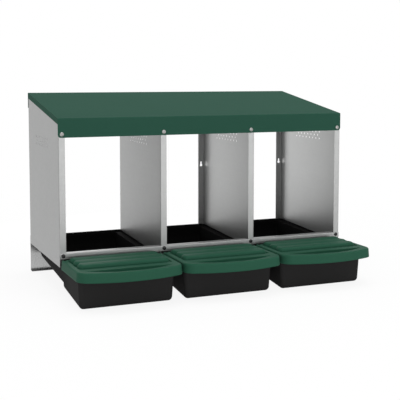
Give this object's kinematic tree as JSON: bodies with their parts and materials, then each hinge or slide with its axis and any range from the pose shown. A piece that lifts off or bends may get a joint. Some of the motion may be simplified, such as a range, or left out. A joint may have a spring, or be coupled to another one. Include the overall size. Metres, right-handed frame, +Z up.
{
  "type": "chicken nesting box",
  "caption": "Row of open-fronted hen nests in folded galvanised sheet under a sloping green roof, with slide-out moulded nest trays whose hinged lids cover egg troughs.",
  "frame": {"origin": "on the ground below the middle of the overall box", "axes": "+X along the row of nests, +Y from the egg lids to the back, +Z up"},
  "size_m": [0.962, 0.6562, 0.6042],
  "materials": {
    "galvanised_sheet": "galvanised, satin",
    "roof_paint": "dark green powder coat, satin",
    "zinc_fasteners": "zinc plated",
    "tray_plastic": "moulded, matte",
    "lid_plastic": "moulded, satin",
    "hinge_steel": "drawn wire"
  },
  "bodies": {
    "frame": {"left_side_panel": "galvanised_sheet", "left_divider": "galvanised_sheet", "right_divider": "galvanised_sheet", "right_side_panel": "galvanised_sheet", "front_rail": "galvanised_sheet", "rear_foot_plate": "galvanised_sheet", "roof": "roof_paint", "roof_front_screws": "zinc_fasteners", "roof_front_nuts": "zinc_fasteners", "roof_rear_screws": "zinc_fasteners", "roof_rear_nuts": "zinc_fasteners", "rail_screws": "zinc_fasteners", "rail_nuts": "zinc_fasteners", "foot_plate_screws": "zinc_fasteners", "foot_plate_nuts": "zinc_fasteners"},
    "left_nest_tray": {"left_tray": "tray_plastic", "left_hinge_rod": "hinge_steel"},
    "left_egg_lid": {"left_lid": "lid_plastic"},
    "center_nest_tray": {"center_tray": "tray_plastic", "center_hinge_rod": "hinge_steel"},
    "center_egg_lid": {"center_lid": "lid_plastic"},
    "right_nest_tray": {"right_tray": "tray_plastic", "right_hinge_rod": "hinge_steel"},
    "right_egg_lid": {"right_lid": "lid_plastic"}
  },
  "joints": [
    {"name": "left_tray_slide", "type": "slide", "parent": "frame", "child": "left_nest_tray", "axis": [0, -1, 0], "range_m": [0, 0.3]},
    {"name": "left_lid_hinge", "type": "hinge", "parent": "left_nest_tray", "child": "left_egg_lid", "pos_m": [-0.32, -0.1051, 0.112], "axis": [-1, 0, 0], "range_deg": [0, 85]},
    {"name": "center_tray_slide", "type": "slide", "parent": "frame", "child": "center_nest_tray", "axis": [0, -1, 0], "range_m": [0, 0.3]},
    {"name": "center_lid_hinge", "type": "hinge", "parent": "center_nest_tray", "child": "center_egg_lid", "pos_m": [0, -0.1051, 0.112], "axis": [-1, 0, 0], "range_deg": [0, 85]},
    {"name": "right_tray_slide", "type": "slide", "parent": "frame", "child": "right_nest_tray", "axis": [0, -1, 0], "range_m": [0, 0.3]},
    {"name": "right_lid_hinge", "type": "hinge", "parent": "right_nest_tray", "child": "right_egg_lid", "pos_m": [0.32, -0.1051, 0.112], "axis": [-1, 0, 0], "range_deg": [0, 85]}
  ]
}
